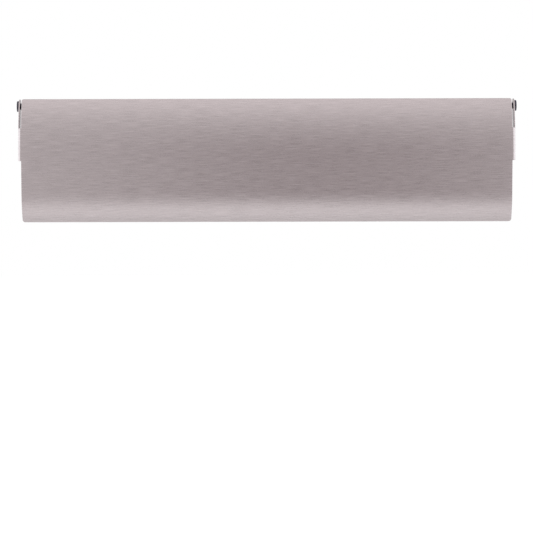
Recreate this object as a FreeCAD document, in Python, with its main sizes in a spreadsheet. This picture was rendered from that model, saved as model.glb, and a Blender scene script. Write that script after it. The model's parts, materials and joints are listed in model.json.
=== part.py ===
"""Internal letterbox draught excluder: a curved frame with a brush curtain in its opening, behind a
hinged sheet flap.

Frame of reference: X runs along the plate, the front faces -Y, Z is up. The origin lies on the door's
face (the plane Y = 0), at the middle of the four fixing holes. Depths are measured from the door
towards the front, so a point at depth d has Y = -d. The flap is drawn closed.
"""
import FreeCAD, Part
import math
import os
import re

import Sketcher

# Driving sizes in millimetres and degrees
SIZES = {
    # Frame: outer form and walls
    "base_length": 334.0,
    "base_height": 78.0,
    "bulge_depth": 15.0,
    "crest_rise": 6.0,
    "skin": 2.2,
    "end_wall": 2.6,
    "end_bevel": 0.5,
    "top_round": 1.2,
    # Frame: letter opening
    "slot_length": 283.0,
    "slot_height": 42.0,
    "slot_drop": 1.0,
    "slot_corner": 1.5,
    "slot_bevel": 0.4,
    "tunnel_wall": 2.0,
    # Frame: ribs and screw bosses
    "rib_wall": 1.8,
    "rib_pitch": 47.0,
    "rib_count": 5,
    "screw_end_margin": 14.0,
    "screw_edge_margin": 15.0,
    "screw_hole": 4.2,
    "screw_recess": 6.5,
    "screw_seat": 3.0,
    "screw_boss_wall": 2.0,
    # Pivots
    "pivot_depth": 5.7,
    "pivot_drop": 3.9,
    "pivot_boss_wall": 2.0,
    "spigot_diameter": 3.4,
    "spigot_length": 9.0,
    "spigot_chamfer": 0.5,
    "spigot_clearance": 0.05,
    "bore_end_gap": 0.5,
    "journal_diameter": 4.2,
    "journal_clearance": 0.08,
    "head_diameter": 7.4,
    "head_thickness": 1.2,
    "head_bevel": 0.3,
    "head_play": 0.3,
    "dimple_diameter": 4.4,
    "dimple_floor": 1.6,
    "dimple_depth": 0.4,
    # Flap
    "sheet": 0.9,
    "flap_gap": 0.5,
    "flap_upper_radius": 100.0,
    "flap_flat_tilt": 5.0,
    "flap_flat_length": 19.8,
    "flap_lower_radius": 38.0,
    "lip_tilt": 36.0,
    "lip_length": 3.0,
    "flap_top_rise": 0.8,
    "flap_top_corner": 1.4,
    "flap_corner": 2.0,
    "ear_gap": 1.8,
    "bend_radius": 1.2,
    "slit_gap": 0.4,
    "slit_drop": 15.1,
    "ear_drop": 37.4,
    "ear_tip_width": 3.2,
    "ear_corner": 1.0,
    # Brush
    "channel_height": 8.0,
    "channel_depth": 5.0,
    "channel_wall": 0.6,
    "channel_bend": 1.0,
    "channel_setback": 2.6,
    "channel_rise": 0.5,
    "channel_overhang": 2.0,
    "channel_clearance": 0.1,
    "channel_nib": 0.5,
    "wire_diameter": 1.6,
    "wire_clearance": 0.05,
    "fibre_wrap": 0.7,
    "fibre_clearance": 0.05,
    "fibre_flare": 0.3,
    "fibre_end_gap": 0.5,
    "fibre_tip_gap": 1.5,
    "tuft_count": 70,
    "tuft_gap": 0.3,
    "tuft_root": 4.0,
}

# Derived heights and depths, as expressions over the sheet
HALF_LENGTH = "base_length / 2"
TOP = "base_height / 2"
SLOT_BOTTOM = "-slot_drop - slot_height / 2"
SLOT_TOP = "-slot_drop + slot_height / 2"
PIVOT_HEIGHT = "base_height / 2 - pivot_drop"
FRONT_RADIUS = "((base_height / 2 + crest_rise) ^ 2 + bulge_depth ^ 2) / (2 * bulge_depth)"
SCREW_X = "base_length / 2 - screw_end_margin"
SCREW_Z = "base_height / 2 - screw_edge_margin"
FLAP_CREST = "bulge_depth + flap_gap"
FLAP_TOP = "base_height / 2 + flap_top_rise"
EAR_INNER = "base_length / 2 + ear_gap"
EAR_OUTER = "base_length / 2 + ear_gap + sheet"
FLAP_EDGE = "base_length / 2 + ear_gap - bend_radius"
SLIT_END = f"{PIVOT_HEIGHT} - slit_drop"
EAR_BOTTOM = f"{PIVOT_HEIGHT} - ear_drop"
CHANNEL_BOTTOM = f"{SLOT_TOP} + tunnel_wall + channel_rise"
CHANNEL_TOP = f"{CHANNEL_BOTTOM} + channel_height"
CHANNEL_HALF = "slot_length / 2 + tunnel_wall + channel_overhang"
CHANNEL_FRONT = "channel_setback + channel_depth"
CHANNEL_MIDDLE = "channel_setback + channel_depth / 2"
WIRE_HEIGHT = f"{CHANNEL_TOP} - channel_wall - fibre_clearance - fibre_wrap - wire_diameter / 2"

# Sketch references: a sketch's origin, its axes and the ends of its curves
ORIGIN = (-1, 1)
H_AXIS, V_AXIS = -1, -2
START, END, CENTRE = range(1, 4)
LEFT_OF_PATH, RIGHT_OF_PATH = 1, -1
TINY = 1e-6

doc = FreeCAD.newDocument("letterbox_draught_excluder")
sheet = doc.addObject("Spreadsheet::Sheet", "Sizes")


def fill_sheet():
    """One row for each driving size: its name, and its number under an alias of the same name."""
    for row, (name, number) in enumerate(SIZES.items(), start=1):
        sheet.set(f"A{row}", name)
        sheet.set(f"B{row}", str(number))
        sheet.setAlias(f"B{row}", name)
    doc.recompute()


def value(expression):
    """The number that an expression over the sheet gives."""
    result = sheet.evalExpression(expression)
    return float(getattr(result, "Value", result))


def bind(item, target, expression):
    """Tie a property or a constraint to an expression over the sheet."""
    bound = re.sub(r"[a-z]\w*", lambda word: f"Sizes.{word[0]}" if word[0] in SIZES else word[0], expression)
    item.setExpression(target, bound)


def front_depth(height, inset="0"):
    """Depth of the frame's curved front at a height, or of a surface that lies inside it by an inset."""
    radius = f"({FRONT_RADIUS} - {inset})"
    return f"bulge_depth - ({FRONT_RADIUS}) + sqrt({radius} ^ 2 - ({height} - crest_rise) ^ 2)"


# Sketch helpers

def new_body(label):
    body = doc.addObject("PartDesign::Body", label)
    body.Label = label
    return body


def new_sketch(body, name, role, offset=None):
    """A sketch on one of the body's own origin planes, moved along that plane's normal by an offset."""
    sketch = body.newObject("Sketcher::SketchObject", f"{body.Name}_{name}_sketch")
    sketch.AttachmentSupport = [(origin_feature(body, role), "")]
    sketch.MapMode = "FlatFace"
    if offset:
        bind(sketch, "AttachmentOffset.Base.z", offset)
    return sketch


def origin_feature(body, role):
    return next(item for item in body.Origin.OriginFeatures if item.Role == role)


def dimension(sketch, kind, references, expression):
    """A driving constraint whose value follows an expression over the sheet."""
    index = sketch.addConstraint(Sketcher.Constraint(kind, *references, value(expression)))
    bind(sketch, f"Constraints[{index}]", expression)


def join(sketch, first, second):
    sketch.addConstraint(Sketcher.Constraint("Coincident", *first, *second))


def place(sketch, point, x=None, y=None):
    """Tie a point's place, measured from the sketch's origin, to expressions over the sheet."""
    for kind, axis, expression in (("DistanceX", V_AXIS, x), ("DistanceY", H_AXIS, y)):
        if expression is None:
            continue
        number = value(expression)
        if abs(number) < TINY:
            sketch.addConstraint(Sketcher.Constraint("PointOnObject", *point, axis))
        elif number > 0:
            dimension(sketch, kind, (*ORIGIN, *point), expression)
        else:
            dimension(sketch, kind, (*point, *ORIGIN), f"-({expression})")


def circle_arc(centre, radius, first, last):
    """An arc about a centre, counter-clockwise from the direction of one point to that of another."""
    angles = [math.atan2(point.y - centre.y, point.x - centre.x) for point in (first, last)]
    if angles[1] < angles[0]:
        angles[1] += 2 * math.pi
    return Part.ArcOfCircle(Part.Circle(centre, FreeCAD.Vector(0, 0, 1), radius), *angles)


def draw_outline(sketch, corners):
    """A closed outline through corners given as (x, y) expressions.

    A corner that carries a radius and a side starts an arc to the next corner, with its centre on that
    side of the path; every other corner starts a straight line.
    """
    points = [FreeCAD.Vector(value(corner[0]), value(corner[1]), 0) for corner in corners]
    ends = []
    for corner, here, there in zip(corners, points, points[1:] + points[:1]):
        if len(corner) == 2:
            curve = sketch.addGeometry(Part.LineSegment(here, there))
            ends.append(((curve, START), (curve, END)))
            continue
        radius = value(corner[2])
        chord = there - here
        reach = math.sqrt(max(radius ** 2 - (chord.Length / 2) ** 2, 0))
        across = FreeCAD.Vector(-chord.y, chord.x, 0) * (corner[3] / chord.Length)
        centre = (here + there) * 0.5 + across * reach
        forward = corner[3] == LEFT_OF_PATH
        arc = circle_arc(centre, radius, here, there) if forward else circle_arc(centre, radius, there, here)
        curve = sketch.addGeometry(arc)
        ends.append(((curve, START), (curve, END)) if forward else ((curve, END), (curve, START)))
    for corner, before, after in zip(corners, ends[-1:] + ends[:-1], ends):
        join(sketch, before[1], after[0])
        place(sketch, after[0], corner[0], corner[1])
    for corner, (first, _) in zip(corners, ends):
        if len(corner) == 4:
            dimension(sketch, "Radius", (first[0],), corner[2])


def draw_box(sketch, left, right, bottom, top):
    draw_outline(sketch, [(left, bottom), (right, bottom), (right, top), (left, top)])


def draw_rounded_box(sketch, left, right, bottom, top, radius):
    turn = (radius, LEFT_OF_PATH)
    draw_outline(sketch, [
        (f"{left} + {radius}", bottom), (f"{right} - {radius}", bottom, *turn),
        (right, f"{bottom} + {radius}"), (right, f"{top} - {radius}", *turn),
        (f"{right} - {radius}", top), (f"{left} + {radius}", top, *turn),
        (left, f"{top} - {radius}"), (left, f"{bottom} + {radius}", *turn),
    ])


def draw_circle(sketch, x, y, diameter):
    centre = FreeCAD.Vector(value(x), value(y), 0)
    circle = Part.Circle(centre, FreeCAD.Vector(0, 0, 1), value(diameter) / 2)
    curve = sketch.addGeometry(circle)
    place(sketch, (curve, CENTRE), x, y)
    dimension(sketch, "Diameter", (curve,), diameter)


# Feature helpers

def pad(body, sketch, length, symmetric=False):
    """Raise a sketch along its normal, or to both sides of it."""
    feature = body.newObject("PartDesign::Pad", sketch.Name.replace("sketch", "pad"))
    feature.Profile = sketch
    if symmetric:
        feature.SideType = "Symmetric"
    bind(feature, "Length", length)
    doc.recompute()
    return feature


def pocket(body, sketch, length=None, symmetric=False):
    """Cut a sketch along its normal, through everything or to a length, or to both sides of it."""
    before = body.Shape.Volume
    feature = body.newObject("PartDesign::Pocket", sketch.Name.replace("sketch", "pocket"))
    feature.Profile = sketch
    if symmetric:
        feature.SideType = "Symmetric"
    else:
        feature.Reversed = True
    if length:
        bind(feature, "Length", length)
    else:
        feature.Type = "ThroughAll"
    doc.recompute()
    if body.Shape.Volume > before - TINY:
        raise RuntimeError(f"{feature.Name} cuts nothing")
    return feature


def mirror_ends(body, features, name):
    """Repeat features of the left end at the right end."""
    mirrored = body.newObject("PartDesign::Mirrored", f"{body.Name}_{name}_mirror")
    mirrored.Originals = features
    mirrored.MirrorPlane = (origin_feature(body, "YZ_Plane"), [""])
    body.Tip = mirrored
    doc.recompute()


def repeat_along(body, feature, count, extent):
    """Repeat a feature along X, its copies spread evenly over an extent."""
    pattern = body.newObject("PartDesign::LinearPattern", f"{feature.Name}_row")
    pattern.Originals = [feature]
    pattern.Direction = (origin_feature(body, "X_Axis"), [""])
    bind(pattern, "Length", extent)
    bind(pattern, "Occurrences", count)
    body.Tip = pattern
    doc.recompute()


def dress_edges(body, kind, measure, name, size, chosen):
    """Fillet or chamfer the body's edges that a test picks out."""
    base = body.Tip
    edges = [f"Edge{number}" for number, edge in enumerate(base.Shape.Edges, start=1) if chosen(edge)]
    if not edges:
        raise RuntimeError(f"{body.Name} has no edge for {name}")
    dressing = body.newObject(kind, f"{body.Name}_{name}")
    dressing.Base = (base, edges)
    bind(dressing, measure, size)
    doc.recompute()


def round_edges(body, name, radius, chosen):
    dress_edges(body, "PartDesign::Fillet", "Radius", name, radius, chosen)


def bevel_edges(body, name, size, chosen):
    dress_edges(body, "PartDesign::Chamfer", "Size", name, size, chosen)


def lies_at(edge, axis, expression):
    """True where both ends of an edge lie at a coordinate along an axis (x, y or z)."""
    target = value(expression)
    return all(abs(getattr(vertex, axis) - target) < TINY for vertex in (end.Point for end in edge.Vertexes))


# Frame

def base_frame():
    """Moulded shell, open at the back, with a letter tunnel, ribs, screw bosses and pivot bosses."""
    body = new_body("base_frame")

    outer = new_sketch(body, "outer", "YZ_Plane")
    draw_outline(outer, [
        ("0", f"-({TOP})"), ("0", TOP),
        (f"-({front_depth(TOP)})", TOP, FRONT_RADIUS, LEFT_OF_PATH),
    ])
    pad(body, outer, "base_length", symmetric=True)

    hollow = new_sketch(body, "hollow", "YZ_Plane")
    ceiling = f"{TOP} - skin"
    inner_radius = f"{FRONT_RADIUS} - skin"
    floor = f"crest_rise - sqrt(({inner_radius}) ^ 2 - ({FRONT_RADIUS} - bulge_depth) ^ 2)"
    draw_outline(hollow, [
        ("0", floor), ("0", ceiling),
        (f"-({front_depth(ceiling, 'skin')})", ceiling, inner_radius, LEFT_OF_PATH),
    ])
    pocket(body, hollow, "base_length - 2 * end_wall", symmetric=True)

    add_walls(body)
    trim = new_sketch(body, "trim", "YZ_Plane")
    draw_outline(trim, [
        ("0", f"-({TOP})", FRONT_RADIUS, RIGHT_OF_PATH), (f"-({front_depth(TOP)})", TOP),
        ("-2 * bulge_depth", TOP), ("-2 * bulge_depth", f"-({TOP})"),
    ])
    pocket(body, trim, "base_length", symmetric=True)
    cut_openings(body)
    round_frame(body)
    return body


def add_walls(body):
    """Walls that stand on the shell's inside; each reaches the bulge's depth and is trimmed later."""
    tunnel = new_sketch(body, "tunnel", "XZ_Plane")
    tunnel_side = "slot_length / 2 + tunnel_wall"
    draw_box(tunnel, f"-({tunnel_side})", tunnel_side,
             f"{SLOT_BOTTOM} - tunnel_wall", f"{SLOT_TOP} + tunnel_wall")
    pad(body, tunnel, "bulge_depth")

    ceiling = f"{TOP} - skin / 2"
    side_walls = new_sketch(body, "side_wall", "XZ_Plane")
    draw_box(side_walls, f"-({tunnel_side})", "-slot_length / 2", f"{SLOT_TOP} + tunnel_wall / 2", ceiling)
    side = pad(body, side_walls, "bulge_depth")
    stile_rib = new_sketch(body, "stile_rib", "XZ_Plane")
    draw_box(stile_rib, f"-({HALF_LENGTH} - end_wall / 2)", "-slot_length / 2 - tunnel_wall / 2",
             "-rib_wall / 2", "rib_wall / 2")
    rib = pad(body, stile_rib, "bulge_depth")
    pivot_boss = new_sketch(body, "pivot_boss", "YZ_Plane", f"-({HALF_LENGTH} - end_wall / 2)")
    draw_circle(pivot_boss, "-pivot_depth", PIVOT_HEIGHT, "spigot_diameter + 2 * pivot_boss_wall")
    boss = pad(body, pivot_boss, "spigot_length + bore_end_gap - end_wall / 2 + skin")
    mirror_ends(body, [side, rib, boss], "wall")

    bosses = new_sketch(body, "screw_boss", "XZ_Plane")
    draw_screw_circles(bosses, "screw_recess + 2 * screw_boss_wall")
    pad(body, bosses, "bulge_depth")

    for name, bottom, top in (
        ("lower_rib", f"-({TOP} - skin)", f"{SLOT_BOTTOM} - tunnel_wall / 2"),
        ("upper_rib", f"{SLOT_TOP} + tunnel_wall / 2", ceiling),
    ):
        rib_sketch = new_sketch(body, name, "XZ_Plane")
        first = "-rib_pitch * (rib_count - 1) / 2"
        draw_box(rib_sketch, f"{first} - rib_wall / 2", f"{first} + rib_wall / 2", bottom, top)
        feature = pad(body, rib_sketch, "bulge_depth")
        repeat_along(body, feature, "rib_count", "rib_pitch * (rib_count - 1)")


def draw_screw_circles(sketch, diameter):
    for x in (f"-({SCREW_X})", SCREW_X):
        for z in (f"-({SCREW_Z})", SCREW_Z):
            draw_circle(sketch, x, z, diameter)


def cut_openings(body):
    """Letter opening, brush seat, screw holes with recesses for their heads, and pivot bores."""
    slot = new_sketch(body, "slot", "XZ_Plane")
    draw_rounded_box(slot, "-slot_length / 2", "slot_length / 2", SLOT_BOTTOM, SLOT_TOP, "slot_corner")
    pocket(body, slot)

    seat = new_sketch(body, "brush_seat", "YZ_Plane")
    front = f"-({CHANNEL_FRONT} + channel_clearance)"
    mouth = "-(channel_setback - channel_clearance)"
    low = f"{CHANNEL_BOTTOM} - channel_clearance"
    high = f"{CHANNEL_TOP} + channel_clearance"
    draw_outline(seat, [
        ("0", f"{low} + channel_nib"), ("0", f"{high} - channel_nib"), (mouth, f"{high} - channel_nib"),
        (mouth, high), (front, high), (front, low), (mouth, low), (mouth, f"{low} + channel_nib"),
    ])
    pocket(body, seat, f"2 * ({CHANNEL_HALF} + channel_clearance)", symmetric=True)

    curtain = new_sketch(body, "curtain_gap", "YZ_Plane")
    draw_box(curtain, front, "0", "-slot_drop", f"{CHANNEL_BOTTOM} + channel_nib")
    pocket(body, curtain, "slot_length", symmetric=True)

    holes = new_sketch(body, "screw_hole", "XZ_Plane")
    draw_screw_circles(holes, "screw_hole")
    pocket(body, holes)
    recesses = new_sketch(body, "screw_recess", "XZ_Plane", "screw_seat")
    draw_screw_circles(recesses, "screw_recess")
    pocket(body, recesses)

    bore = new_sketch(body, "pivot_bore", "YZ_Plane", f"-({HALF_LENGTH})")
    draw_circle(bore, "-pivot_depth", PIVOT_HEIGHT, "spigot_diameter + 2 * spigot_clearance")
    mirror_ends(body, [pocket(body, bore, "spigot_length + bore_end_gap")], "bore")


def round_frame(body):
    """Soft edges: along the top of the front, round both ends, and round the opening's front."""
    front = value(FRONT_RADIUS)
    top_front = f"-({front_depth(TOP)})"
    round_edges(body, "top_edge", "top_round", lambda edge: lies_at(edge, "z", TOP)
                and lies_at(edge, "y", top_front))

    def on_end(edge):
        at_end = any(lies_at(edge, "x", end) for end in (HALF_LENGTH, f"-({HALF_LENGTH})"))
        return at_end and hasattr(edge.Curve, "Radius") and abs(edge.Curve.Radius - front) < TINY

    bevel_edges(body, "end_edge", "end_bevel", on_end)

    def on_slot_front(edge):
        depth_centre = front - value("bulge_depth")
        ends = [end.Point for end in edge.Vertexes]
        across = max(abs(point.x) for point in ends) < value("slot_length / 2") + TINY
        height = max(abs(point.z + value("slot_drop")) for point in ends) < value("slot_height / 2") + TINY
        reach = [math.hypot(point.y - depth_centre, point.z - value("crest_rise")) for point in ends]
        return across and height and all(abs(radius - front) < TINY for radius in reach)

    bevel_edges(body, "slot_edge", "slot_bevel", on_slot_front)


# Flap

def flap_point(station):
    """Inner surface of the flap at a station of its profile: depth, height and outward normal.

    From the top the profile is a long arc about the crest, a straight flat, a tighter arc and a lip.
    """
    flat_sin = "sin(flap_flat_tilt)"
    flat_cos = "cos(flap_flat_tilt)"
    lip_sin = "sin(lip_tilt)"
    lip_cos = "cos(lip_tilt)"
    if station == "top":
        rise = f"({FLAP_TOP} - crest_rise) / flap_upper_radius"
        run = f"sqrt(1 - ({rise}) ^ 2)"
        return f"{FLAP_CREST} - flap_upper_radius * (1 - {run})", FLAP_TOP, run, rise
    depth = f"{FLAP_CREST} - flap_upper_radius * (1 - {flat_cos})"
    height = f"crest_rise - flap_upper_radius * {flat_sin}"
    if station == "flat_start":
        return depth, height, flat_cos, f"-{flat_sin}"
    depth = f"{depth} - flap_flat_length * {flat_sin}"
    height = f"{height} - flap_flat_length * {flat_cos}"
    if station == "flat_end":
        return depth, height, flat_cos, f"-{flat_sin}"
    depth = f"{depth} - flap_lower_radius * ({flat_cos} - {lip_cos})"
    height = f"{height} - flap_lower_radius * ({lip_sin} - {flat_sin})"
    if station == "lip_start":
        return depth, height, lip_cos, f"-{lip_sin}"
    return f"{depth} - lip_length * {lip_sin}", f"{height} - lip_length * {lip_cos}", lip_cos, f"-{lip_sin}"


def flap_corner(station, face, *arc):
    """A corner of the sheet's section, on its inner or outer face."""
    depth, height, forward, upward = flap_point(station)
    if face == "inner":
        return (f"-({depth})", height, *arc)
    return (f"-({depth} + sheet * {forward})", f"{height} + sheet * ({upward})", *arc)


def flap():
    """Folded sheet: a curved cover with an ear bent back at each end, cut free above its bend."""
    body = new_body("flap")
    section = new_sketch(body, "section", "YZ_Plane")
    draw_outline(section, [
        flap_corner("top", "inner", "flap_upper_radius", LEFT_OF_PATH),
        flap_corner("flat_start", "inner"),
        flap_corner("flat_end", "inner", "flap_lower_radius", LEFT_OF_PATH),
        flap_corner("lip_start", "inner"),
        flap_corner("lip_end", "inner"),
        flap_corner("lip_end", "outer"),
        flap_corner("lip_start", "outer", "flap_lower_radius + sheet", RIGHT_OF_PATH),
        flap_corner("flat_end", "outer"),
        flap_corner("flat_start", "outer", "flap_upper_radius + sheet", RIGHT_OF_PATH),
        flap_corner("top", "outer"),
    ])
    pad(body, section, f"2 * ({FLAP_EDGE})", symmetric=True)

    def sheet_corner(station):
        depth, height, _, _ = (value(item) for item in flap_point(station))

        def chosen(edge):
            near = min(math.hypot(end.Y + depth, end.Z - height) for end in edge.Vertexes)
            return near < TINY and abs(edge.Length - value("sheet")) < TINY
        return chosen

    round_edges(body, "top_corner", "flap_top_corner", sheet_corner("top"))
    round_edges(body, "lower_corner", "flap_corner", sheet_corner("lip_end"))
    mirror_ends(body, [add_bend(body), add_ear(body)], "ear")
    round_edges(body, "ear_tip", "ear_corner", is_ear_tip)
    return body


def add_bend(body):
    """Quarter turn of the sheet from the cover's left edge to the ear, carried round the cover's arc."""
    bend = new_sketch(body, "bend", "XY_Plane", "crest_rise")
    edge = f"-({FLAP_EDGE})"
    ear_start = f"-({FLAP_CREST} - bend_radius)"
    draw_outline(bend, [
        (edge, f"-({FLAP_CREST})", "bend_radius", RIGHT_OF_PATH),
        (f"-({EAR_INNER})", ear_start),
        (f"-({EAR_OUTER})", ear_start, "bend_radius + sheet", LEFT_OF_PATH),
        (edge, f"-({FLAP_CREST} + sheet)"),
    ])
    axis_place = f"flap_upper_radius - ({FLAP_CREST})"
    ends = [FreeCAD.Vector(x, value(axis_place), 0) for x in (value(edge), 0)]
    axis = bend.addGeometry(Part.LineSegment(*ends), True)
    place(bend, (axis, START), edge, axis_place)
    place(bend, (axis, END), "0", axis_place)
    turn = body.newObject("PartDesign::Revolution", "flap_bend")
    turn.Profile = bend
    turn.ReferenceAxis = (bend, ["Axis0"])
    turn.Type = "TwoAngles"
    bind(turn, "Angle", f"asin((crest_rise - ({EAR_BOTTOM})) / flap_upper_radius)")
    bind(turn, "Angle2", f"asin(({SLIT_END} - crest_rise) / flap_upper_radius)")
    doc.recompute()
    return turn


def on_flap_arc(radius, height):
    """Place, in the ear's sketch, of a point at a height on an arc about the cover's centre."""
    centre = FreeCAD.Vector(value(f"flap_upper_radius - ({FLAP_CREST})"), value("crest_rise"), 0)
    rise = (height - centre.y) / value("flap_upper_radius")
    return centre + FreeCAD.Vector(-math.sqrt(1 - rise ** 2), rise, 0) * radius


def add_ear(body):
    """Left ear: a tapering plate from the bend up to a rounded eye about the pivot.

    Its front edge follows the cover. Above the bend it stands clear of the cover by the slit, and it runs
    tangent into the eye, so the eye's radius follows from the pivot's place.
    """
    ear = new_sketch(body, "ear", "YZ_Plane", f"-({EAR_OUTER})")
    centre = FreeCAD.Vector(value(f"flap_upper_radius - ({FLAP_CREST})"), value("crest_rise"), 0)
    pivot = FreeCAD.Vector(-value("pivot_depth"), value(PIVOT_HEIGHT), 0)
    slit_radius = value("flap_upper_radius - slit_gap")
    bend_radius = value("flap_upper_radius - bend_radius")
    tip_radius = value("flap_upper_radius - ear_tip_width")
    eye_radius = slit_radius - (pivot - centre).Length
    eye_front = centre + (pivot - centre).normalize() * slit_radius
    slit_outer = on_flap_arc(slit_radius, value(SLIT_END))
    slit_inner = on_flap_arc(bend_radius, value(SLIT_END))
    bend_end = on_flap_arc(bend_radius, value(EAR_BOTTOM))
    tip = on_flap_arc(tip_radius, value(EAR_BOTTOM))
    down = tip - pivot
    spread = math.acos(eye_radius / down.Length)
    direction = math.atan2(down.y, down.x) + spread
    eye_back = pivot + FreeCAD.Vector(math.cos(direction), math.sin(direction), 0) * eye_radius

    front = ear.addGeometry(circle_arc(centre, slit_radius, eye_front, slit_outer))
    eye = ear.addGeometry(circle_arc(pivot, eye_radius, eye_back, eye_front))
    back = ear.addGeometry(Part.LineSegment(eye_back, tip))
    bottom = ear.addGeometry(Part.LineSegment(tip, bend_end))
    seam = ear.addGeometry(circle_arc(centre, bend_radius, slit_inner, bend_end))
    step = ear.addGeometry(Part.LineSegment(slit_inner, slit_outer))

    ear.addConstraint(Sketcher.Constraint("Tangent", front, START, eye, END))
    ear.addConstraint(Sketcher.Constraint("Tangent", eye, START, back, START))
    join(ear, (back, END), (bottom, START))
    join(ear, (bottom, END), (seam, END))
    join(ear, (seam, START), (step, START))
    join(ear, (step, END), (front, END))
    place(ear, (front, CENTRE), f"flap_upper_radius - ({FLAP_CREST})", "crest_rise")
    join(ear, (seam, CENTRE), (front, CENTRE))
    place(ear, (eye, CENTRE), "-pivot_depth", PIVOT_HEIGHT)
    dimension(ear, "Radius", (front,), "flap_upper_radius - slit_gap")
    dimension(ear, "Radius", (seam,), "flap_upper_radius - bend_radius")
    for spoke in (step, bottom):
        ear.addConstraint(Sketcher.Constraint("PointOnObject", front, CENTRE, spoke))
    scale = "(flap_upper_radius - bend_radius) / flap_upper_radius"
    place(ear, (seam, START), y=f"crest_rise + ({SLIT_END} - crest_rise) * {scale}")
    place(ear, (seam, END), y=f"crest_rise + ({EAR_BOTTOM} - crest_rise) * {scale}")
    dimension(ear, "Distance", (bottom,), "ear_tip_width - bend_radius")
    draw_circle(ear, "-pivot_depth", PIVOT_HEIGHT, "journal_diameter + 2 * journal_clearance")
    return pad(body, ear, "sheet")


def is_ear_tip(edge):
    """True for the two edges across the sheet at the ears' lower rear corners."""
    tip = on_flap_arc(value("flap_upper_radius - ear_tip_width"), value(EAR_BOTTOM))
    return all(math.hypot(end.Y - tip.x, end.Z - tip.y) < TINY for end in edge.Vertexes)


# Pivot pins

def pivot_pin(label, side):
    """Pin pushed into the frame's end: a spigot, a journal for the ear to turn on, and a dimpled head."""
    body = new_body(label)
    sketch = new_sketch(body, "section", "XY_Plane", PIVOT_HEIGHT)

    def corner(along, radius):
        return (f"{side} * ({HALF_LENGTH} + {along})", f"-pivot_depth + {radius}")

    head_start = "ear_gap + sheet + head_play"
    head_end = f"{head_start} + head_thickness"
    draw_outline(sketch, [
        corner("-spigot_length", "0"),
        corner("-spigot_length", "spigot_diameter / 2 - spigot_chamfer"),
        corner("-spigot_length + spigot_chamfer", "spigot_diameter / 2"),
        corner("0", "spigot_diameter / 2"),
        corner("0", "journal_diameter / 2"),
        corner(head_start, "journal_diameter / 2"),
        corner(head_start, "head_diameter / 2"),
        corner(f"{head_end} - head_bevel", "head_diameter / 2"),
        corner(head_end, "head_diameter / 2 - head_bevel"),
        corner(head_end, "dimple_diameter / 2"),
        corner(f"{head_end} - dimple_depth", "dimple_floor / 2"),
        corner(f"{head_end} - dimple_depth", "0"),
    ])
    axis = sketch.addGeometry(Part.LineSegment(
        FreeCAD.Vector(0, -value("pivot_depth"), 0),
        FreeCAD.Vector(value(HALF_LENGTH), -value("pivot_depth"), 0)), True)
    place(sketch, (axis, START), "0", "-pivot_depth")
    place(sketch, (axis, END), HALF_LENGTH, "-pivot_depth")
    turned = body.newObject("PartDesign::Revolution", f"{label}_turned")
    turned.Profile = sketch
    turned.ReferenceAxis = (sketch, ["Axis0"])
    doc.recompute()
    return body


# Brush

def brush_channel():
    """Metal strip folded to an upside-down U."""
    body = new_body("brush_channel")
    sketch = new_sketch(body, "section", "YZ_Plane")
    back = "-channel_setback"
    front = f"-({CHANNEL_FRONT})"
    draw_outline(sketch, [
        (back, CHANNEL_BOTTOM), (back, CHANNEL_TOP), (front, CHANNEL_TOP), (front, CHANNEL_BOTTOM),
        (f"{front} + channel_wall", CHANNEL_BOTTOM),
        (f"{front} + channel_wall", f"{CHANNEL_TOP} - channel_wall"),
        (f"{back} - channel_wall", f"{CHANNEL_TOP} - channel_wall"),
        (f"{back} - channel_wall", CHANNEL_BOTTOM),
    ])
    pad(body, sketch, f"2 * ({CHANNEL_HALF})", symmetric=True)
    length = value(f"2 * ({CHANNEL_HALF})")
    round_edges(body, "fold", "channel_bend", lambda edge: lies_at(edge, "z", CHANNEL_TOP)
                and abs(edge.Length - length) < TINY)
    return body


def brush_core_wire():
    """Wire that the fibres are folded over."""
    wire = doc.addObject("Part::Cylinder", "brush_core_wire")
    wire.Label = "brush_core_wire"
    along_x = FreeCAD.Rotation(FreeCAD.Vector(0, 1, 0), 90)
    wire.Placement = FreeCAD.Placement(FreeCAD.Vector(), along_x)
    bind(wire, "Radius", "wire_diameter / 2")
    bind(wire, "Height", f"2 * ({CHANNEL_HALF})")
    bind(wire, "Placement.Base.x", f"-({CHANNEL_HALF})")
    bind(wire, "Placement.Base.y", f"-({CHANNEL_MIDDLE})")
    bind(wire, "Placement.Base.z", WIRE_HEIGHT)
    return wire


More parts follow.
